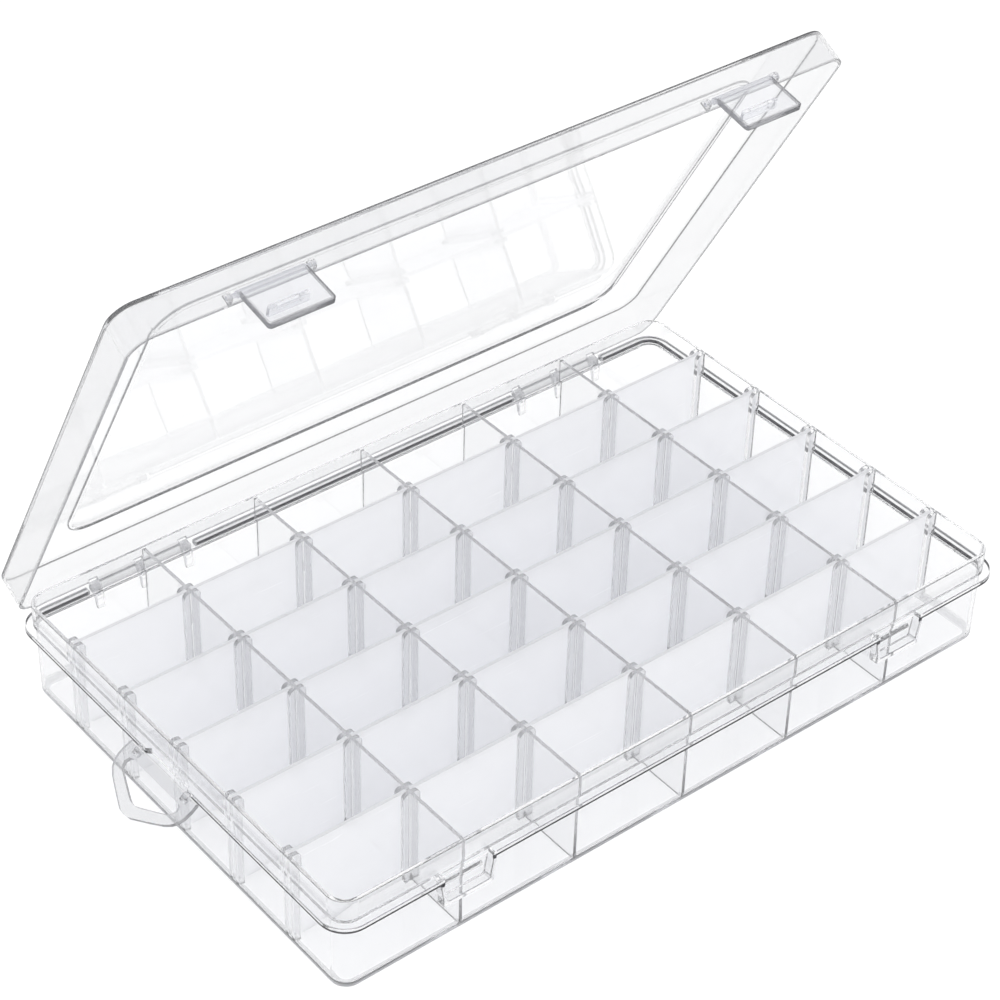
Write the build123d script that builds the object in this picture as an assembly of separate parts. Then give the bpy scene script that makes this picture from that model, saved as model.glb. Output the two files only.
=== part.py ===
from build123d import *
import math
import os

# Clear plastic organizer box with lift-out dividers.
# Units: mm. Origin: centre of the tray's underside. X runs along the length,
# +Y to the hinge side (back), +Z up. The lid stands open, as it is stored.

os.makedirs("parts", exist_ok=True)

# ---------------------------------------------------------------- tray sizes
FL_X, FL_Y, FL_R = 137.5, 89.0, 9.4        # flange, outer half sizes and corner
FL_Z0, FL_Z1 = 26.8, 29.0                  # flange underside and top
LO_X, LO_Y, LO_R = 134.1, 85.6, 6.0        # lower wall, outer
LI_X, LI_Y, LI_R = 132.6, 84.1, 4.5        # lower wall, inner
RO_X, RO_Y, RO_R = 134.9, 86.4, 6.8        # raised rim, outer
RI_X, RI_Y, RI_R = 133.7, 85.2, 5.6        # raised rim, inner
RIM_Z = 37.4
STEP_Z = 28.0                              # inner step between lower wall and rim
FLOOR = 1.5

WALL_X = (-89.6, -44.8, 0.0, 44.8, 89.6)   # fixed cross walls
WALL_T = 1.2
WALL_Z = 37.2

ROW_Y = (58.6, 29.3, 0.0, -29.3, -58.6)    # divider rows, back to front
RIB_T = 1.6                                # rib width along Y
RIB_D = 2.5                                # rib depth along X
RIB_OFF = 1.6                              # rib centre from the row's centre
RIB_Z = 37.3
RIB_R = 1.8                                # round at the rib's top
RIB_END = 130.3                            # tips of the ribs on the end walls

# ------------------------------------------------------------- divider sizes
DIV_T = 1.2
DIV_Z0, DIV_Z1 = 1.6, 37.0
DIV_GAP = 0.2
DIV_R = 5.5

# ------------------------------------------------------ latch pocket (front)
PK_X = (-89.6, 89.6)
PK_HALF = 10.4                             # outer half width at the flange
PK_FOOT = 9.6                              # outer half width at the shelf
PK_T = 1.4                                 # cheek thickness
PK_Z0, PK_Z1 = 17.0, 19.0                  # shelf
BEAD_Z0, BEAD_Z1, BEAD_P = 23.0, 24.2, 0.9  # snap bead on the pocket's wall

# ----------------------------------------------------------------- hinge
HX = (-89.6, 89.6)
HY, HZ = 88.6, 27.6                        # hinge axis
H_CUT = 21.0                               # half width of the flange cut-out
LUG_DX = (-17.5, 0.0, 17.5)
LUG_T = 2.6
LUG_R = 2.1
LUG_BORE = 1.25
ROD_R = 1.5
JOURNAL_R = 1.2

# ------------------------------------------------------------------- lid
LD_X, LD_Y, LD_R = 136.55, 88.05, 8.45
LD_T = 1.3
LD_Z0, LD_Z1 = 29.4, 42.0                  # free edge and panel top, closed
LD_RAISE = 1.0                             # raised middle of the panel
MID_X, MID_Y, MID_R = 116.0, 71.0, 12.0
OPEN = 61.0                                # angle at which the lid stands open

# ------------------------------------------------------------------ latch
LT_W = 23.0
LT_Y, LT_Z = -89.55, 30.95                 # latch axis with the lid closed
EAR_R = 1.5                                # ears of the lid that carry the latch
EAR_D0, EAR_D1 = 2.2, 3.5                  # ear faces, out from the latch's end
LT_IN, LT_OUT = 0.25, 1.65                 # plate faces from the axis, outwards
LT_LEN = 16.0
LT_R = 1.2                                 # corners of the free edge
LT_REST = 16.0                             # latch stands out this far at rest
PIN_R, PIN_BORE = 0.75, 0.80
BARREL_R = 1.15
CATCH_HALF, CATCH_S0, CATCH_S1 = 7.0, 8.3, 9.5
CATCH_TIP = -85.95

# ------------------------------------------------------------- hang loop
LP_X, LP_Z = -138.5, 27.3                  # loop axis
LP_ROD = 0.8
LP_BORE = 0.85
LP_EYE_Y = (-13.0, 13.0)
LP_EYE_T = 2.2
LP_EYE_R = 1.6
LP_T = 1.7
LP_TILT = 30.0                             # below horizontal at rest
NOTCH_HALF, NOTCH_D = 11.5, 1.5


# ------------------------------------------------------------------ helpers
def slab(hx, hy, r, z0, z1):
    """Rounded rectangular prism centred on Z."""
    f = RectangleRounded(2 * hx, 2 * hy, r)
    return Pos(0, 0, z0) * extrude(f, z1 - z0)


def block(x0, x1, y0, y1, z0, z1):
    return Pos((x0 + x1) / 2, (y0 + y1) / 2, (z0 + z1) / 2) * Box(x1 - x0, y1 - y0, z1 - z0)


def rod_x(y, z, r, x0, x1):
    return Pos((x0 + x1) / 2, y, z) * Rot(0, 90, 0) * Cylinder(r, x1 - x0)


def rod_y(x, z, r, y0, y1):
    return Pos(x, (y0 + y1) / 2, z) * Rot(90, 0, 0) * Cylinder(r, y1 - y0)


def distinct(pts):
    """Drop points that repeat the one before them."""
    out = []
    for p in pts:
        if not out or math.dist(p, out[-1]) > 1e-4:
            out.append(p)
    if math.dist(out[0], out[-1]) <= 1e-4:
        out.pop()
    return out


def prof_yz(pts, x0, x1):
    """Prism from a polygon in Y and Z, between two X values."""
    pts = distinct(pts)
    f = make_face(Polyline(*[(x0, p[0], p[1]) for p in pts], close=True))
    return extrude(f, x1 - x0, dir=(1, 0, 0))


def prof_xz(pts, y0, y1):
    """Prism from a polygon in X and Z, between two Y values."""
    pts = distinct(pts)
    f = make_face(Polyline(*[(p[0], y0, p[1]) for p in pts], close=True))
    return extrude(f, y1 - y0, dir=(0, 1, 0))


def solid_of(shape):
    s = shape.solids()
    if len(s) != 1:
        raise ValueError("expected one solid, got %d" % len(s))
    return s[0]


def round_pts(cx, cy, r, a0, a1, n=8):
    return [(cx + r * math.cos(math.radians(a0 + (a1 - a0) * i / n)),
             cy + r * math.sin(math.radians(a0 + (a1 - a0) * i / n))) for i in range(n + 1)]


def pocket_shape(xc, w, f, za, zb, z0, z1, r, y0, y1):
    """U that narrows from half width w at the top to f at the foot, with rounded turns."""
    pts = [(xc - w, z1), (xc - w, za), (xc - f, zb), (xc - f, z0), (xc + f, z0), (xc + f, zb), (xc + w, za), (xc + w, z1)]
    face = make_face(Polyline(*[(p[0], y0, p[1]) for p in pts], close=True))
    soft = [v for v in face.vertices() if abs(v.Z - za) < 0.01 or abs(v.Z - zb) < 0.01]
    face = face.face().fillet_2d(3.5, soft)
    foot = [v for v in face.vertices() if abs(v.Z - z0) < 0.01]
    face = face.fillet_2d(r, foot)
    return extrude(face, y1 - y0, dir=(0, 1, 0))


# ---------------------------------------------------------------- base tray
def make_tray():
    lower = slab(LO_X, LO_Y, LO_R, 0, STEP_Z)
    bottom_edges = lower.faces().sort_by(Axis.Z)[0].edges()
    lower = fillet(bottom_edges, 1.8)
    flange = slab(FL_X, FL_Y, FL_R, FL_Z0, FL_Z1)
    flange_edges = flange.faces().sort_by(Axis.Z)[-1].edges() + flange.faces().sort_by(Axis.Z)[0].edges()
    flange = fillet(flange_edges, 0.45)
    rim = slab(RO_X, RO_Y, RO_R, FL_Z0 + 0.2, RIM_Z)
    rim = fillet(rim.faces().sort_by(Axis.Z)[-1].edges(), 0.4)
    body = lower + flange + rim

    # openings in the flange: hinge zones, latch pockets, loop notch
    cuts = []
    for xc in HX:
        cuts.append(block(xc - H_CUT, xc + H_CUT, RO_Y, FL_Y + 1, 26.0, 29.5))
    for xc in PK_X:
        cuts.append(block(xc - PK_HALF + 0.6, xc + PK_HALF - 0.6, -FL_Y - 1, -RO_Y, 26.0, 29.5))
    n0 = FL_X - NOTCH_D
    cuts.append(Pos(0, 0, 26.0) * extrude(make_face(Polyline(
        (-FL_X - 1, -NOTCH_HALF - 0.8, 0), (-FL_X, -NOTCH_HALF, 0), (-n0, -NOTCH_HALF + 1.4, 0),
        (-n0, NOTCH_HALF - 1.4, 0), (-FL_X, NOTCH_HALF, 0), (-FL_X - 1, NOTCH_HALF + 0.8, 0), close=True)), 4.0))
    body = body - cuts

    adds = []
    # latch pockets: a shelf between two cheeks
    for xc in PK_X:
        u = pocket_shape(xc, PK_HALF, PK_FOOT, 25.6, 20.6, PK_Z0, FL_Z1, 1.1, -FL_Y, -LO_Y + 0.8)
        u = u - pocket_shape(xc, PK_HALF - PK_T, PK_FOOT - PK_T, 25.4, 21.4, PK_Z1, FL_Z1 + 1, 1.1, -FL_Y - 1, -LO_Y)
        front = u.faces().filter_by(Axis.Y).sort_by(Axis.Y)[0]
        u = fillet(front.outer_wire().edges().filter_by(lambda e: e.center().Z < FL_Z1 - 0.2), 0.45)
        adds.append(u)
        adds.append(prof_yz([(-LO_Y + 0.4, BEAD_Z0), (-LO_Y - BEAD_P + 0.25, BEAD_Z0), (-LO_Y - BEAD_P, BEAD_Z0 + 0.35),
                             (-LO_Y - BEAD_P + 0.2, BEAD_Z1 - 0.2), (-LO_Y + 0.4, BEAD_Z1 + 0.6)],
                            xc - 7.0, xc + 7.0))

    # hinge lugs: open hooks with a tail down the wall
    for xc in HX:
        for dx in LUG_DX:
            x0, x1 = xc + dx - LUG_T / 2, xc + dx + LUG_T / 2
            web = prof_yz([(LO_Y - 0.8, 21.0), (LO_Y + 0.7, 20.6), (LO_Y + 1.5, 21.4), (LO_Y + 1.8, 23.6),
                           (HY + 0.2, HZ - LUG_R + 0.15), (HY, HZ), (HY - 0.6, HZ + 1.9), (RO_Y - 0.6, HZ + 1.9),
                           (RO_Y - 0.6, 27.0), (LO_Y - 0.8, 27.0)], x0, x1)
            lug = web + rod_x(HY, HZ, LUG_R, x0, x1)
            lug = lug - rod_x(HY, HZ, LUG_BORE, x0 - 1, x1 + 1)
            # mouth of the hook, narrower than the journal
            mouth = Pos(0, HY, HZ) * Rot(-28, 0, 0) * block(x0 - 1, x1 + 1, -0.95, 0.95, -4, 0)
            mouth = mouth & block(x0 - 2, x1 + 2, HY - 0.9, HY + 5, HZ - 5, HZ)
            lug = lug - mouth
            adds.append(lug)

    # eyes for the hang loop
    for yc in LP_EYE_Y:
        y0, y1 = yc - LP_EYE_T / 2, yc + LP_EYE_T / 2
        eye = rod_y(LP_X, LP_Z, LP_EYE_R, y0, y1) + block(LP_X, -FL_X + 1.2, y0, y1, 26.9, 28.8)
        eye = eye - rod_y(LP_X, LP_Z, LP_BORE, y0 - 1, y1 + 1)
        eye = eye - block(LP_X - 0.6, LP_X + 0.6, y0 - 1, y1 + 1, LP_Z - 3, LP_Z)
        adds.append(eye)

    body = body + adds

    # hollow
    cavity = slab(LI_X, LI_Y, LI_R, FLOOR, STEP_Z + 0.01) + slab(RI_X, RI_Y, RI_R, STEP_Z, RIM_Z + 1)
    low = [e for e in cavity.faces().sort_by(Axis.Z)[0].edges()]
    cavity = fillet(low, 1.2)
    body = body - cavity

    # fixed walls with their pairs of ribs, and ribs on the end walls
    inside = []
    for xc in WALL_X:
        w = block(xc - WALL_T / 2, xc + WALL_T / 2, -LI_Y - 0.7, LI_Y + 0.7, FLOOR - 0.5, STEP_Z + 0.3)
        w = w + block(xc - WALL_T / 2, xc + WALL_T / 2, -RI_Y - 0.6, RI_Y + 0.6, STEP_Z + 0.3, WALL_Z)
        inside.append(w)
        for y in ROW_Y:
            for s in (-1, 1):
                yc = y + s * RIB_OFF
                d = WALL_T / 2 + RIB_D
                pts = ([(xc - d, FLOOR - 0.5)]
                       + [(xc + x, z) for x, z in round_pts(-d + RIB_R, RIB_Z - RIB_R, RIB_R, 180, 90, 5)]
                       + [(xc + x, z) for x, z in round_pts(d - RIB_R, RIB_Z - RIB_R, RIB_R, 90, 0, 5)]
                       + [(xc + d, FLOOR - 0.5)])
                inside.append(prof_xz(pts, yc - RIB_T / 2, yc + RIB_T / 2))
    for s0 in (-1, 1):
        for y in ROW_Y:
            for s in (-1, 1):
                yc = y + s * RIB_OFF
                pts = ([(s0 * RIB_END, FLOOR - 0.5)]
                       + [(s0 * x, z) for x, z in round_pts(RIB_END + RIB_R, RIB_Z - RIB_R, RIB_R, 180, 90, 5)]
                       + [(s0 * (RI_X + 0.4), RIB_Z), (s0 * (RI_X + 0.4), STEP_Z + 0.4), (s0 * (LI_X + 0.6), STEP_Z - 0.4),
                          (s0 * (LI_X + 0.6), FLOOR - 0.5)])
                inside.append(prof_xz(pts, yc - RIB_T / 2, yc + RIB_T / 2))
    body = body + inside
    return solid_of(body)


# ---------------------------------------------------------------------- lid
def make_lid_closed():
    outer = slab(LD_X, LD_Y, LD_R, LD_Z0, LD_Z1)
    outer = fillet(outer.faces().sort_by(Axis.Z)[-1].edges(), 1.5)
    mid = slab(MID_X, MID_Y, MID_R, LD_Z1 - 0.6, LD_Z1 + LD_RAISE)
    mid = fillet(mid.faces().sort_by(Axis.Z)[-1].edges(), 0.6)
    cav = slab(LD_X - LD_T, LD_Y - LD_T, LD_R - LD_T, LD_Z0 - 1, LD_Z1 - LD_T)
    cav = fillet(cav.faces().sort_by(Axis.Z)[-1].edges(), 0.7)
    mid_in = slab(MID_X - 1.2, MID_Y - 1.2, MID_R - 1.2, LD_Z1 - LD_T - 0.5, LD_Z1 + LD_RAISE - LD_T)
    lid = (outer + mid) - [cav, mid_in]

    # clearance over the hinge lugs
    cuts = []
    for xc in HX:
        for dx in LUG_DX:
            cuts.append(block(xc + dx - LUG_T / 2 - 0.4, xc + dx + LUG_T / 2 + 0.4,
                              LD_Y - LD_T - 0.5, LD_Y + 0.5, LD_Z0 - 1, HZ + 2.6))
    lid = lid - cuts

    adds = []
    # hinge rods, in the spans between the lugs, with journals through the lugs
    for xc in HX:
        a = xc + LUG_DX[0] - LUG_T / 2 - 0.5
        b = xc + LUG_DX[2] + LUG_T / 2 + 0.5
        adds.append(rod_x(HY, HZ, JOURNAL_R, a, b))
        for i in (0, 1):
            s0 = xc + LUG_DX[i] + LUG_T / 2 + 0.25
            s1 = xc + LUG_DX[i + 1] - LUG_T / 2 - 0.25
            adds.append(rod_x(HY, HZ, ROD_R, s0, s1))
            adds.append(prof_yz([(LD_Y - LD_T, LD_Z0 + 0.6), (LD_Y - LD_T, HZ + 0.9), (HY - 1.3, HZ - 0.3), (HY, HZ),
                                 (LD_Y, LD_Z0 + 0.6)], s0, s1))
    # thumb bead along the middle of the front skirt
    adds.append(prof_yz([(-LD_Y + 0.4, LD_Z0 + 3.5), (-LD_Y - 0.15, LD_Z0 + 3.5), (-LD_Y - 0.35, LD_Z0 + 3.7),
                         (-LD_Y - 0.35, LD_Z0 + 4.2), (-LD_Y - 0.15, LD_Z0 + 4.4), (-LD_Y + 0.4, LD_Z0 + 4.4)],
                        -36.0, 36.0))
    # latch ears with their bores
    for xc in PK_X:
        for s in (-1, 1):
            x0 = xc + s * (LT_W / 2 + EAR_D0)
            x1 = xc + s * (LT_W / 2 + EAR_D1)
            x0, x1 = min(x0, x1), max(x0, x1)
            ear = rod_x(LT_Y, LT_Z, EAR_R, x0, x1)
            ear = ear + prof_yz([(LT_Y, LT_Z - EAR_R), (-LD_Y + 0.5, LT_Z - EAR_R), (-LD_Y + 0.5, LT_Z + EAR_R + 0.4),
                                 (-LD_Y - 0.1, LT_Z + EAR_R + 0.4), (LT_Y, LT_Z + EAR_R)], x0, x1)
            ear = ear - block(x0 - 1, x1 + 1, -LD_Y + 0.6, 0, 20, 40)
            ear = ear - rod_x(LT_Y, LT_Z, PIN_BORE, x0 - 1, x1 + 1)
            adds.append(ear)
    lid = lid + adds
    return solid_of(lid)


# -------------------------------------------------------------------- latch
def make_latch_closed(xc):
    """Latch hanging straight down from its axis, as when the lid is closed."""
    w = LT_W / 2
    yi, yo = LT_Y - LT_IN, LT_Y - LT_OUT
    zb = LT_Z - LT_LEN
    plate = block(xc - w, xc + w, yo, yi, zb, LT_Z)
    low = plate.edges().filter_by(Axis.Y).sort_by(Axis.Z)[:2]
    plate = fillet(low, LT_R)
    # raised lip along the sides and the free edge, on the outer face
    lip = block(xc - w, xc + w, yo - 0.45, yo + 0.1, zb, LT_Z - 1.2)
    lip = fillet(lip.edges().filter_by(Axis.Y).sort_by(Axis.Z)[:2], LT_R)
    hole = block(xc - w + 0.8, xc + w - 0.8, yo - 1, yo, zb + 1.0, LT_Z + 1)
    hole = fillet(hole.edges().filter_by(Axis.Y).sort_by(Axis.Z)[:2], 0.5)
    lip = lip - hole
    latch = plate + lip
    latch = latch + rod_x(LT_Y, LT_Z, BARREL_R, xc - w, xc + w)
    # pins at both ends, running in the lid's ears
    latch = latch + rod_x(LT_Y, LT_Z, PIN_R, xc - w - EAR_D1, xc + w + EAR_D1)
    # catch across the inner face, with a slot through it
    z1 = LT_Z - CATCH_S0
    z0 = LT_Z - CATCH_S1
    catch = prof_yz([(yi - 0.6, z0 - 0.3), (yi + 0.1, z0 - 0.3), (yi + 0.6, z0), (CATCH_TIP - 0.3, z0), (CATCH_TIP, z0 + 0.3),
                     (CATCH_TIP, z1), (yi - 0.6, z1)], xc - CATCH_HALF, xc + CATCH_HALF)
    slot = block(xc - 4.1, xc + 4.1, yi + 1.25, yi + 2.45, z0 - 2, z1 + 2)
    slot = fillet(slot.edges().filter_by(Axis.Z), 0.5)
    latch = latch + (catch - slot)
    return solid_of(latch)


# ---------------------------------------------------------------- hang loop
def make_loop_flat():
    """Loop lying level, pointing to -X from its axis."""
    out = [(18.0, -0.3), (18.25, 2.6), (18.1, 5.2), (17.4, 7.6), (16.0, 9.4), (13.6, 11.2)]
    tip = [(4.0, 16.0), (2.4, 16.75), (0.0, 17.05)]
    half = out + [(8.8, 13.7)] + tip
    pts = [(LP_X - s, y) for y, s in half] + [(LP_X - s, -y) for y, s in reversed(half[:-1])]
    with_base = make_face(Polyline(*[(x, y, 0) for x, y in pts], close=True))
    hin = [(12.6, 3.2), (13.7, 3.9), (14.1, 5.4), (13.6, 6.9), (12.2, 8.0), (3.0, 12.2), (1.5, 12.75), (0.0, 12.9)]
    hp = [(LP_X - s, y) for y, s in hin] + [(LP_X - s, -y) for y, s in reversed(hin[:-1])]
    hole = make_face(Polyline(*[(x, y, 0) for x, y in hp], close=True))
    ring = extrude(with_base - hole, LP_T)
    ring = Pos(0, 0, -LP_T / 2) * ring
    # room for the eyes
    g = LP_EYE_T / 2 + 0.3
    for yc in LP_EYE_Y:
        ring = ring - block(LP_X - 2.0, LP_X + 3, yc - g, yc + g, -3, 3)
    ring = ring + rod_y(LP_X, 0, LP_ROD, -18.0, 18.0)
    # keep the base clear of the flange's edge
    ring = ring - block(LP_X + LP_ROD, LP_X + 5, -30, 30, -3, 3)
    ring = Pos(0, 0, LP_Z) * ring
    return solid_of(ring)


# ----------------------------------------------------------------- dividers
def make_divider(col, row):
    y = ROW_Y[row - 1]
    if col in (1, 6):
        s = -1 if col == 1 else 1
        xi = WALL_X[4] + WALL_T / 2 + DIV_GAP          # at the fixed wall
        xo = LI_X - DIV_GAP                            # at the end wall, below
        xu = RI_X - 0.3                                # at the end wall, above the step
        pts = ([(s * xi, DIV_Z0)]
               + [(s * x, z) for x, z in round_pts(xo - DIV_R, DIV_Z0 + DIV_R, DIV_R, -90, 0, 10)]
               + [(s * xo, STEP_Z + 0.4), (s * xu, STEP_Z + 0.4 + (xu - xo)), (s * xu, DIV_Z1), (s * xi, DIV_Z1)])
        return solid_of(prof_xz(pts, y - DIV_T / 2, y + DIV_T / 2))
    a = WALL_X[col - 2] + WALL_T / 2 + DIV_GAP
    b = WALL_X[col - 1] - WALL_T / 2 - DIV_GAP
    return solid_of(block(a, b, y - DIV_T / 2, y + DIV_T / 2, DIV_Z0, DIV_Z1))


# ------------------------------------------------------------------- build
def turn_x(shape, y, z, deg):
    """Turn about an X axis through (y, z)."""
    return Pos(0, y, z) * Rot(deg, 0, 0) * Pos(0, -y, -z) * shape


def turn_y(shape, x, z, deg):
    return Pos(x, 0, z) * Rot(0, deg, 0) * Pos(-x, 0, -z) * shape


def save(shape, node):
    export_step(shape, "parts/%s.step" % node)


tray = make_tray()
save(tray, "base_tray")

lid = turn_x(make_lid_closed(), HY, HZ, -OPEN)
save(lid, "lid")

for xc, node in ((PK_X[0], "latch_left"), (PK_X[1], "latch_right")):
    lt = turn_x(make_latch_closed(xc), LT_Y, LT_Z, -LT_REST)
    lt = turn_x(lt, HY, HZ, -OPEN)
    save(lt, node)

loop = turn_y(make_loop_flat(), LP_X, LP_Z, -LP_TILT)
save(loop, "hang_loop")

for c in range(1, 7):
    for r in range(1, 6):
        save(make_divider(c, r), "divider_c%d_r%d" % (c, r))
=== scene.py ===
import math
import bpy
import mathutils
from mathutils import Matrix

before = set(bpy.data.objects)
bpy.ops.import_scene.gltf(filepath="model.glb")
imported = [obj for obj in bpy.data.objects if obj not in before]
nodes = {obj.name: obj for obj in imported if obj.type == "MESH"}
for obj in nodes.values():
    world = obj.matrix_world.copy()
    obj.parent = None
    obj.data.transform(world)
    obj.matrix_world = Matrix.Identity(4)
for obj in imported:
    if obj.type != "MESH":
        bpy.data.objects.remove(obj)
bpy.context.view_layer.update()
scene = bpy.context.scene


# ------------------------------------------------------------ node helpers
def new_mat(name):
    m = bpy.data.materials.new(name)
    m.use_nodes = True
    m.node_tree.nodes.clear()
    return m, m.node_tree.nodes, m.node_tree.links


def add(nt, kind, **kw):
    n = nt.new(kind)
    for k, v in kw.items():
        setattr(n, k, v)
    return n


def plug(ln, v, socket):
    if isinstance(v, (int, float)):
        socket.default_value = v
    elif isinstance(v, tuple):
        socket.default_value = v
    else:
        ln.new(v, socket)


def calc(nt, ln, op, *args, clamp=False):
    n = add(nt, "ShaderNodeMath", operation=op, use_clamp=clamp)
    for i, v in enumerate(args):
        plug(ln, v, n.inputs[i])
    return n.outputs[0]


def remap(nt, ln, v, a, b, c, d, smooth=False):
    n = add(nt, "ShaderNodeMapRange", clamp=True)
    if smooth:
        n.interpolation_type = "SMOOTHSTEP"
    for i, x in enumerate((v, a, b, c, d)):
        plug(ln, x, n.inputs[i])
    return n.outputs[0]


def noise(nt, ln, vec, scale, detail=2.0, rough=0.5, distortion=0.0):
    n = add(nt, "ShaderNodeTexNoise")
    ln.new(vec, n.inputs["Vector"])
    n.inputs["Scale"].default_value = scale
    n.inputs["Detail"].default_value = detail
    n.inputs["Roughness"].default_value = rough
    n.inputs["Distortion"].default_value = distortion
    return n.outputs["Fac"]


def blend2(nt, ln, fac, a, b):
    n = add(nt, "ShaderNodeMixShader")
    plug(ln, fac, n.inputs["Fac"])
    ln.new(a, n.inputs[1])
    ln.new(b, n.inputs[2])
    return n.outputs[0]


def scuffs(nt, ln, co, scale, seed):
    """Fine straight scuff marks: noise drawn out along one direction."""
    mp = add(nt, "ShaderNodeMapping")
    ln.new(co, mp.inputs["Vector"])
    mp.inputs["Rotation"].default_value = (0.3 * seed, 0.2 * seed, 0.9 + 0.7 * seed)
    mp.inputs["Scale"].default_value = (scale * 0.03, scale, scale)
    f = noise(nt, ln, mp.outputs[0], 1.0, 3.0, 0.7, 0.4)
    return remap(nt, ln, f, 0.66, 0.74, 0.0, 1.0)


def moulded(nt, ln, wave=0.00004, grain=0.0000025):
    """Object coordinates, roughness and normal of a moulded clear surface."""
    co = add(nt, "ShaderNodeTexCoord").outputs["Object"]
    slow = noise(nt, ln, co, 9.0, 2.0, 0.5, 0.3)
    fine = noise(nt, ln, co, 900.0, 2.0, 0.6)
    marks = calc(nt, ln, "MAXIMUM", scuffs(nt, ln, co, 700.0, 0.0), scuffs(nt, ln, co, 900.0, 1.0))
    b1 = add(nt, "ShaderNodeBump")
    b1.inputs["Strength"].default_value = 1.0
    b1.inputs["Distance"].default_value = wave * 10
    ln.new(slow, b1.inputs["Height"])
    b2 = add(nt, "ShaderNodeBump")
    b2.inputs["Strength"].default_value = 1.0
    b2.inputs["Distance"].default_value = grain
    ln.new(fine, b2.inputs["Height"])
    ln.new(b1.outputs[0], b2.inputs["Normal"])
    return co, slow, fine, marks, b2.outputs[0]


# --------------------------------------------------------------- materials
def round_rect(nt, ln, x, y, hx, hy, r):
    """Distance outside a rounded rectangle round the origin, negative inside."""
    qx = calc(nt, ln, "SUBTRACT", calc(nt, ln, "ABSOLUTE", x), hx - r)
    qy = calc(nt, ln, "SUBTRACT", calc(nt, ln, "ABSOLUTE", y), hy - r)
    mx, my = calc(nt, ln, "MAXIMUM", qx, 0.0), calc(nt, ln, "MAXIMUM", qy, 0.0)
    out = calc(nt, ln, "SQRT", calc(nt, ln, "ADD", calc(nt, ln, "MULTIPLY", mx, mx), calc(nt, ln, "MULTIPLY", my, my)))
    inn = calc(nt, ln, "MINIMUM", calc(nt, ln, "MAXIMUM", qx, qy), 0.0)
    return calc(nt, ln, "SUBTRACT", calc(nt, ln, "ADD", out, inn), r)


def above(nt, ln, v, edge, soft=0.00008):
    return remap(nt, ln, v, edge - soft, edge + soft, 0.0, 1.0)


def below(nt, ln, v, edge, soft=0.00008):
    return remap(nt, ln, v, edge - soft, edge + soft, 1.0, 0.0)


def both(nt, ln, *vs):
    v = vs[0]
    for u in vs[1:]:
        v = calc(nt, ln, "MULTIPLY", v, u)
    return v


def either(nt, ln, *vs):
    v = vs[0]
    for u in vs[1:]:
        v = calc(nt, ln, "MAXIMUM", v, u)
    return v


def parts_of(nt, ln, v):
    sep = add(nt, "ShaderNodeSeparateXYZ")
    ln.new(v, sep.inputs[0])
    return sep.outputs


def scaled(nt, ln, v, k):
    return calc(nt, ln, "MULTIPLY", v, k)


def radius(nt, ln, u, v):
    return calc(nt, ln, "SQRT", calc(nt, ln, "ADD", calc(nt, ln, "MULTIPLY", u, u), calc(nt, ln, "MULTIPLY", v, v)))


def turn_x(nt, ln, v, deg):
    n = add(nt, "ShaderNodeVectorRotate", rotation_type="X_AXIS")
    ln.new(v, n.inputs["Vector"])
    n.inputs["Angle"].default_value = math.radians(deg)
    return n.outputs[0]


def fillet_shade_band(nt, ln, nz):
    """The small rounds between level and upright faces, where dark edge shade is painted."""
    z = calc(nt, ln, "ABSOLUTE", nz)
    return both(nt, ln, remap(nt, ln, z, 0.12, 0.3, 0.0, 1.0), remap(nt, ln, z, 0.90, 0.97, 1.0, 0.0))


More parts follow.
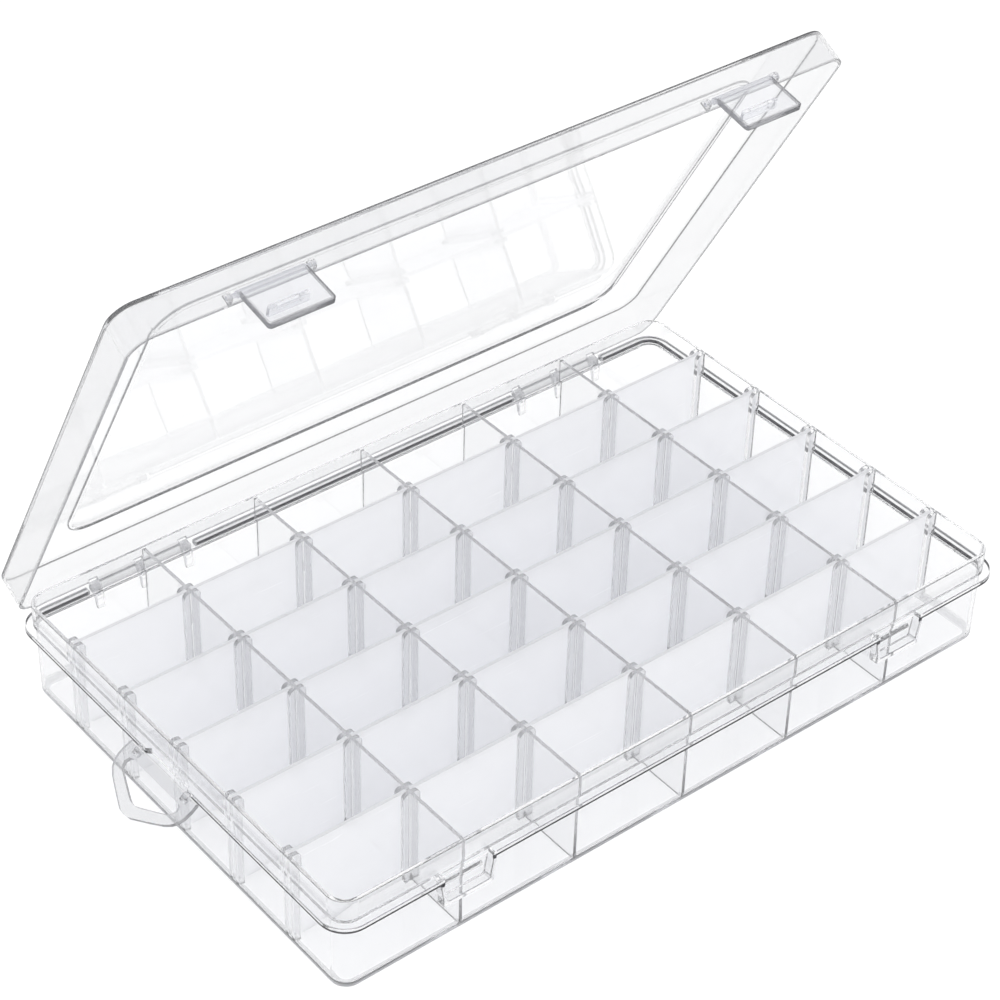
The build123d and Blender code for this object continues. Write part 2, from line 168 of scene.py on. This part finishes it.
def tray_masks(nt, ln, co, nrm):
    """The tray: how milky each part is, and where dark shade is painted along its edges."""
    x, y, z = parts_of(nt, ln, co)
    nz = parts_of(nt, ln, nrm)[2]
    # distance from the nearest fixed wall's middle plane
    near = add(nt, "ShaderNodeMath", operation="PINGPONG")
    ln.new(x, near.inputs[0])
    near.inputs[1].default_value = 0.0224
    near = near.outputs[0]
    ax = calc(nt, ln, "ABSOLUTE", x)
    ay = calc(nt, ln, "ABSOLUTE", y)
    inside = both(nt, ln, below(nt, ln, ax, 0.0925), below(nt, ln, ay, 0.0838), above(nt, ln, z, 0.0017))
    walls = both(nt, ln, inside, below(nt, ln, near, 0.00068))
    tops = both(nt, ln, walls, above(nt, ln, z, 0.03685))
    rows = calc(nt, ln, "ABSOLUTE", calc(nt, ln, "WRAP", y, 0.01465, -0.01465))
    fade = remap(nt, ln, rows, 0.0026, 0.0085, 1.0, 0.0, smooth=True)
    band = both(nt, ln, walls, fade, below(nt, ln, ay, 0.0675))
    ribs = both(nt, ln, inside, above(nt, ln, near, 0.00068), below(nt, ln, near, 0.0033), below(nt, ln, ay, 0.0625))
    ends = both(nt, ln, above(nt, ln, ax, 0.1301), below(nt, ln, ax, 0.1325), below(nt, ln, ay, 0.0625), above(nt, ln, z, 0.0022))
    rim = above(nt, ln, z, 0.0292)
    axle = below(nt, ln, radius(nt, ln, calc(nt, ln, "SUBTRACT", y, 0.0886), calc(nt, ln, "SUBTRACT", z, 0.0276)), 0.0026)
    milk = either(nt, ln, scaled(nt, ln, walls, 0.05), scaled(nt, ln, either(nt, ln, ribs, ends), 0.20), scaled(nt, ln, band, 0.20),
                  scaled(nt, ln, rim, 0.03), scaled(nt, ln, axle, 0.25), scaled(nt, ln, tops, 0.30))
    flange = round_rect(nt, ln, x, y, 0.1375, 0.089, 0.0094)
    # painted dark shade line along the flange's lower outer edge
    lip = both(nt, ln, above(nt, ln, flange, -0.0004), below(nt, ln, flange, 0.0003), below(nt, ln, z, 0.02785), above(nt, ln, z, 0.0262))
    low = round_rect(nt, ln, x, y, 0.1341, 0.0856, 0.006)
    shell = both(nt, ln, above(nt, ln, low, -0.0017), below(nt, ln, z, 0.0265))
    milk = either(nt, ln, milk, scaled(nt, ln, shell, 0.035))
    foot = both(nt, ln, above(nt, ln, low, -0.0032), remap(nt, ln, z, 0.0018, 0.0036, 1.0, 0.0, smooth=True))
    milk = either(nt, ln, milk, scaled(nt, ln, foot, 0.42))
    # fainter painted dark shade on the small rounds above the foot
    shaded_fillets = calc(nt, ln, "MULTIPLY", fillet_shade_band(nt, ln, nz), above(nt, ln, z, 0.0030))
    dark = either(nt, ln, lip, scaled(nt, ln, shaded_fillets, 0.13))
    return milk, dark


def lid_masks(nt, ln, co, nrm):
    """The lid, read in its shut position so that its edges run along straight planes."""
    mv = add(nt, "ShaderNodeVectorMath", operation="SUBTRACT")
    ln.new(co, mv.inputs[0])
    mv.inputs[1].default_value = (0.0, 0.0886, 0.0276)
    x, y, z = parts_of(nt, ln, turn_x(nt, ln, mv.outputs[0], 61.0))
    nz = parts_of(nt, ln, turn_x(nt, ln, nrm, 61.0))[2]
    axle = below(nt, ln, radius(nt, ln, y, z), 0.0015)
    y = calc(nt, ln, "ADD", y, 0.0886)
    z = calc(nt, ln, "ADD", z, 0.0276)
    outline = round_rect(nt, ln, x, y, 0.13655, 0.08805, 0.00845)
    top = both(nt, ln, above(nt, ln, outline, -0.0010, 0.0002), above(nt, ln, z, 0.0409, 0.0002))
    free = both(nt, ln, above(nt, ln, outline, -0.0004), below(nt, ln, z, 0.02985))
    skirt = both(nt, ln, above(nt, ln, outline, -0.0014), below(nt, ln, z, 0.0412))
    milk = either(nt, ln, scaled(nt, ln, skirt, 0.12), scaled(nt, ln, axle, 0.25))
    # painted dark shade: a strong band round the top border, fainter lines on the free edge and the small rounds
    dark = either(nt, ln, scaled(nt, ln, top, 0.74), scaled(nt, ln, free, 0.20), scaled(nt, ln, fillet_shade_band(nt, ln, nz), 0.06))
    return milk, dark


def latch_masks(nt, ln, co, nrm):
    """The latch plates: dark shade painted along the free edge and the ends."""
    x, y, z = parts_of(nt, ln, co)
    r = radius(nt, ln, calc(nt, ln, "SUBTRACT", y, 0.005161), calc(nt, ln, "SUBTRACT", z, 0.185038))
    end = calc(nt, ln, "ABSOLUTE", calc(nt, ln, "SUBTRACT", calc(nt, ln, "ABSOLUTE", x), 0.0896))
    dark = either(nt, ln, scaled(nt, ln, above(nt, ln, r, 0.01545), 0.55),
                  scaled(nt, ln, both(nt, ln, above(nt, ln, end, 0.01105), above(nt, ln, r, 0.0019)), 0.45))
    return scaled(nt, ln, below(nt, ln, r, 0.0019), 0.25), dark


def loop_masks(nt, ln, co, nrm):
    """The hang loop: dark shade is painted on its narrow sides, not on its two broad faces."""
    n = add(nt, "ShaderNodeVectorMath", operation="DOT_PRODUCT")
    ln.new(nrm, n.inputs[0])
    n.inputs[1].default_value = (-0.5, 0.0, 0.866025)
    side = remap(nt, ln, calc(nt, ln, "ABSOLUTE", n.outputs["Value"]), 0.35, 0.75, 1.0, 0.0)
    return 0.0, scaled(nt, ln, side, 0.30)


def clear_plastic(name, base, haze, haze_to, rough, through, milk, graze, masks=None, foot=0.0):
    """Clear moulded plastic: refracts, is milky in places, and has dark shade painted along its edges."""
    m, nt, ln = new_mat(name)
    out = add(nt, "ShaderNodeOutputMaterial")
    co, slow, fine, marks, normal = moulded(nt, ln)
    p = add(nt, "ShaderNodeBsdfPrincipled")
    p.inputs["Base Color"].default_value = (*base, 1)
    p.inputs["IOR"].default_value = 1.45
    p.inputs["Transmission Weight"].default_value = 1.0
    r = remap(nt, ln, slow, 0.35, 0.65, rough * 0.5, rough * 1.6)
    r = calc(nt, ln, "ADD", r, scaled(nt, ln, marks, 0.10))
    h = remap(nt, ln, slow, 0.3, 0.7, haze, haze_to)
    h = calc(nt, ln, "ADD", h, scaled(nt, ln, marks, 0.05))
    # a wall seen edge on holds more plastic along the line of sight
    lw = add(nt, "ShaderNodeLayerWeight")
    lw.inputs["Blend"].default_value = 0.5
    thick = remap(nt, ln, lw.outputs["Facing"], graze[0], graze[1], 0.0, graze[2], smooth=True)
    if foot:
        z = parts_of(nt, ln, co)[2]
        thick = calc(nt, ln, "MULTIPLY", thick, remap(nt, ln, z, 0.0015, 0.0035, foot, 1.0))
    h = calc(nt, ln, "ADD", h, thick)
    dark = 0.0
    if masks:
        nrm = add(nt, "ShaderNodeTexCoord").outputs["Normal"]
        more, dark = masks(nt, ln, co, nrm)
        h = calc(nt, ln, "ADD", h, more, clamp=True)
        r = calc(nt, ln, "ADD", r, scaled(nt, ln, more, 0.3)) if more else r
    ln.new(r, p.inputs["Roughness"])
    ln.new(normal, p.inputs["Normal"])
    df = add(nt, "ShaderNodeBsdfDiffuse")
    df.inputs["Color"].default_value = (*milk, 1)
    tl = add(nt, "ShaderNodeBsdfTranslucent")
    tl.inputs["Color"].default_value = (*milk, 1)
    cloud = blend2(nt, ln, 0.5, df.outputs[0], tl.outputs[0])
    body = blend2(nt, ln, h, p.outputs[0], cloud)
    if dark:
        ed = add(nt, "ShaderNodeBsdfDiffuse")
        ed.inputs["Color"].default_value = (0.055, 0.055, 0.06, 1)
        # painted dark edge shade, a little uneven along its length
        painted_edge_shade = calc(nt, ln, "MULTIPLY", dark, remap(nt, ln, fine, 0.3, 0.7, 0.9, 1.0))
        body = blend2(nt, ln, painted_edge_shade, body, ed.outputs[0])
    lp = add(nt, "ShaderNodeLightPath")
    soft = calc(nt, ln, "MAXIMUM", lp.outputs["Is Shadow Ray"], lp.outputs["Is Diffuse Ray"])
    tr = add(nt, "ShaderNodeBsdfTransparent")
    tr.inputs["Color"].default_value = (*through, 1)
    ln.new(blend2(nt, ln, soft, body, tr.outputs[0]), out.inputs["Surface"])
    return m


def frosted_plastic(name):
    """Frosted dividers: light passes, shapes behind only just show."""
    m, nt, ln = new_mat(name)
    out = add(nt, "ShaderNodeOutputMaterial")
    co = add(nt, "ShaderNodeTexCoord").outputs["Object"]
    slow = noise(nt, ln, co, 26.0, 2.0, 0.5, 0.3)
    fine = noise(nt, ln, co, 2600.0, 2.0, 0.6)
    marks = scuffs(nt, ln, co, 800.0, 0.5)
    bump = add(nt, "ShaderNodeBump")
    bump.inputs["Strength"].default_value = 0.4
    bump.inputs["Distance"].default_value = 0.00004
    ln.new(fine, bump.inputs["Height"])
    tr = add(nt, "ShaderNodeBsdfTransparent")
    tr.inputs["Color"].default_value = (0.985, 0.986, 0.99, 1)
    z = parts_of(nt, ln, co)[2]
    # painted dark shade along the top edge and at the foot where the divider meets the floor, and the frosting is a
    # little thicker at both
    painted_top_and_foot_shade = calc(nt, ln, "MAXIMUM", remap(nt, ln, z, 0.0368, 0.03695, 0.0, 1.0), remap(nt, ln, z, 0.0022, 0.0018, 0.0, 1.0))
    painted_top_and_foot_shade = calc(nt, ln, "MULTIPLY", painted_top_and_foot_shade, remap(nt, ln, fine, 0.3, 0.7, 0.7, 1.0))
    tone = add(nt, "ShaderNodeMix", data_type="RGBA")
    ln.new(painted_top_and_foot_shade, tone.inputs["Factor"])
    tone.inputs["A"].default_value = (0.965, 0.967, 0.98, 1)
    tone.inputs["B"].default_value = (0.72, 0.72, 0.735, 1)
    df = add(nt, "ShaderNodeBsdfPrincipled")
    ln.new(tone.outputs["Result"], df.inputs["Base Color"])
    df.inputs["IOR"].default_value = 1.45
    ln.new(remap(nt, ln, slow, 0.3, 0.7, 0.42, 0.60), df.inputs["Roughness"])
    ln.new(bump.outputs[0], df.inputs["Normal"])
    tl = add(nt, "ShaderNodeBsdfTranslucent")
    ln.new(tone.outputs["Result"], tl.inputs["Color"])
    ln.new(bump.outputs[0], tl.inputs["Normal"])
    body = blend2(nt, ln, 0.55, df.outputs[0], tl.outputs[0])
    k = remap(nt, ln, slow, 0.3, 0.7, 0.66, 0.74)
    k = calc(nt, ln, "ADD", k, scaled(nt, ln, marks, 0.10))
    k = calc(nt, ln, "ADD", k, scaled(nt, ln, painted_top_and_foot_shade, 0.2), clamp=True)
    ln.new(blend2(nt, ln, k, tr.outputs[0], body), out.inputs["Surface"])
    return m


MILK = (0.62, 0.623, 0.638)
mat_tray = clear_plastic("tray_plastic", (0.982, 0.983, 0.987), 0.012, 0.028, 0.02, (0.985, 0.986, 0.988), MILK,
                         (0.60, 0.97, 0.50), tray_masks, 0.15)
mat_lid = clear_plastic("lid_plastic", (0.972, 0.973, 0.977), 0.010, 0.025, 0.02, (0.98, 0.981, 0.984), MILK,
                        (0.85, 1.0, 0.4), lid_masks)
mat_loop = clear_plastic("loop_plastic", (0.92, 0.922, 0.93), 0.15, 0.21, 0.06, (0.93, 0.932, 0.937), MILK,
                         (0.6, 0.97, 0.5), loop_masks)
mat_latch = clear_plastic("latch_plastic", (0.94, 0.944, 0.96), 0.06, 0.10, 0.04, (0.955, 0.958, 0.968), (0.62, 0.625, 0.66),
                          (0.6, 0.97, 0.5), latch_masks)
mat_frost = frosted_plastic("frosted_plastic")

for name, o in nodes.items():
    if name.startswith("divider"):
        m = mat_frost
    elif name.startswith("latch"):
        m = mat_latch
    else:
        m = {"base_tray": mat_tray, "lid": mat_lid}.get(name, mat_loop)
    for s in o.material_slots:
        s.link = "OBJECT"
        s.material = m
    if not o.material_slots:
        o.data.materials.append(m)

# ------------------------------------------------------------------- stage
bpy.ops.mesh.primitive_plane_add(size=12, location=(0, 0, -0.0002))
floor = bpy.context.object
floor.name = "floor"
mf, nt, ln = new_mat("floor")
o = add(nt, "ShaderNodeOutputMaterial")
d = add(nt, "ShaderNodeBsdfDiffuse")
d.inputs["Color"].default_value = (0.93, 0.93, 0.93, 1)
glow = add(nt, "ShaderNodeEmission")
glow.inputs["Strength"].default_value = 0.09
lit = add(nt, "ShaderNodeAddShader")
ln.new(d.outputs["BSDF"], lit.inputs[0])
ln.new(glow.outputs[0], lit.inputs[1])
ln.new(lit.outputs[0], o.inputs["Surface"])
floor.data.materials.append(mf)

# White studio all round, with dark flags low down at the four diagonals: they
# draw the edges of clear plastic.
w = bpy.data.worlds.new("studio")
scene.world = w
w.use_nodes = True
nt, ln = w.node_tree.nodes, w.node_tree.links
bg = nt["Background"]
sep = add(nt, "ShaderNodeSeparateXYZ")
ln.new(add(nt, "ShaderNodeTexCoord").outputs["Generated"], sep.inputs[0])
x2 = calc(nt, ln, "MULTIPLY", sep.outputs["X"], sep.outputs["X"])
y2 = calc(nt, ln, "MULTIPLY", sep.outputs["Y"], sep.outputs["Y"])
s2 = calc(nt, ln, "MAXIMUM", calc(nt, ln, "ADD", x2, y2), 0.0001)
lobe = calc(nt, ln, "DIVIDE", calc(nt, ln, "MULTIPLY", calc(nt, ln, "MULTIPLY", x2, y2), 4.0),
            calc(nt, ln, "MULTIPLY", s2, s2))
lobe = remap(nt, ln, lobe, 0.25, 0.75, 0.0, 1.0, smooth=True)
low = remap(nt, ln, sep.outputs["Z"], 0.12, 0.34, 1.0, 0.0, smooth=True)
flag = calc(nt, ln, "MULTIPLY", calc(nt, ln, "MULTIPLY", lobe, low), 0.85)
# the flags themselves stay out of the picture
seen = calc(nt, ln, "SUBTRACT", 1.0, add(nt, "ShaderNodeLightPath").outputs["Is Camera Ray"])
flag = calc(nt, ln, "MULTIPLY", flag, seen)
top = remap(nt, ln, sep.outputs["Z"], 0.0, 0.7, 0.90, 1.0, smooth=True)
val = calc(nt, ln, "MULTIPLY", calc(nt, ln, "SUBTRACT", 1.0, flag), top)
ln.new(calc(nt, ln, "MULTIPLY", val, 1.14), bg.inputs["Strength"])
bg.inputs["Color"].default_value = (1, 1, 1, 1)
w.cycles.sampling_method = "NONE"

# ------------------------------------------------------------------ camera
RIGHT = (0.779667, -0.625816, 0.021743)
UP = (0.371494, 0.490217, 0.788467)
BACK = (-0.504094, -0.606664, 0.614693)
POS = (-0.46115, -0.54534, 0.6244)
cam = bpy.data.cameras.new("camera")
cam.lens = 101.52
cam.sensor_width = 36.0
cam.sensor_fit = "HORIZONTAL"
cam.clip_start = 0.01
cam_o = bpy.data.objects.new("camera", cam)
scene.collection.objects.link(cam_o)
mw = mathutils.Matrix.Identity(4)
for i in range(3):
    mw[i][0], mw[i][1], mw[i][2], mw[i][3] = RIGHT[i], UP[i], BACK[i], POS[i]
cam_o.matrix_world = mw
scene.camera = cam_o

scene.view_settings.view_transform = "Standard"
c = scene.cycles
c.transparent_max_bounces = 64
c.max_bounces = 24
c.transmission_bounces = 24
c.glossy_bounces = 10
c.diffuse_bounces = 4
c.caustics_reflective = False
c.caustics_refractive = False
c.sample_clamp_indirect = 4.0
